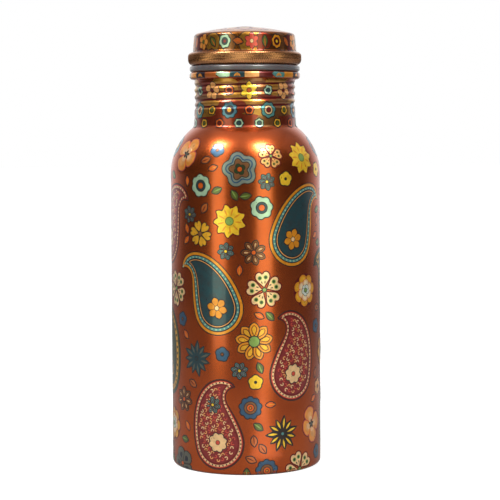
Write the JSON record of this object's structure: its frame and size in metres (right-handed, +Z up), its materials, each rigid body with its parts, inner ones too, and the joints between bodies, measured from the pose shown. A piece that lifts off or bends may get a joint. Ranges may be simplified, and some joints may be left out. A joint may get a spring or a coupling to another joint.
{
  "type": "water bottle",
  "caption": "Straight copper water bottle with a rounded shoulder, a rolled screw neck, a silicone washer and a domed screw cap with a knurled rim.",
  "frame": {"origin": "centre of the base, in the plane that the bottle stands on", "axes": "+Z up along the bottle's axis; the printed front faces -Y"},
  "size_m": [0.075, 0.075, 0.2194],
  "materials": {
    "copper_body": "printed, lacquered copper",
    "silicone": "translucent grey-brown silicone",
    "copper_inside": "bare satin copper",
    "copper_cap": "printed, lacquered copper with a bare knurled rim"
  },
  "bodies": {
    "bottle": {"bottle_body": "copper_body"},
    "seal": {"sealing_washer": "silicone"},
    "cap": {"cap_threaded_cup": "copper_inside", "cap_shell": "copper_cap"}
  },
  "joints": [
    {"name": "cap_lift", "type": "slide", "parent": "bottle", "child": "seal", "axis": [0, 0, 1], "range_m": [0, 0.028]},
    {"name": "cap_turn", "type": "hinge", "parent": "seal", "child": "cap", "pos_m": [0, 0, 0.1971], "axis": [0, 0, 1], "range_deg": [0, 2880]}
  ],
  "couplings": [
    {"joint": "cap_lift", "follows": "cap_turn", "m_per_rad": 0.000557}
  ]
}
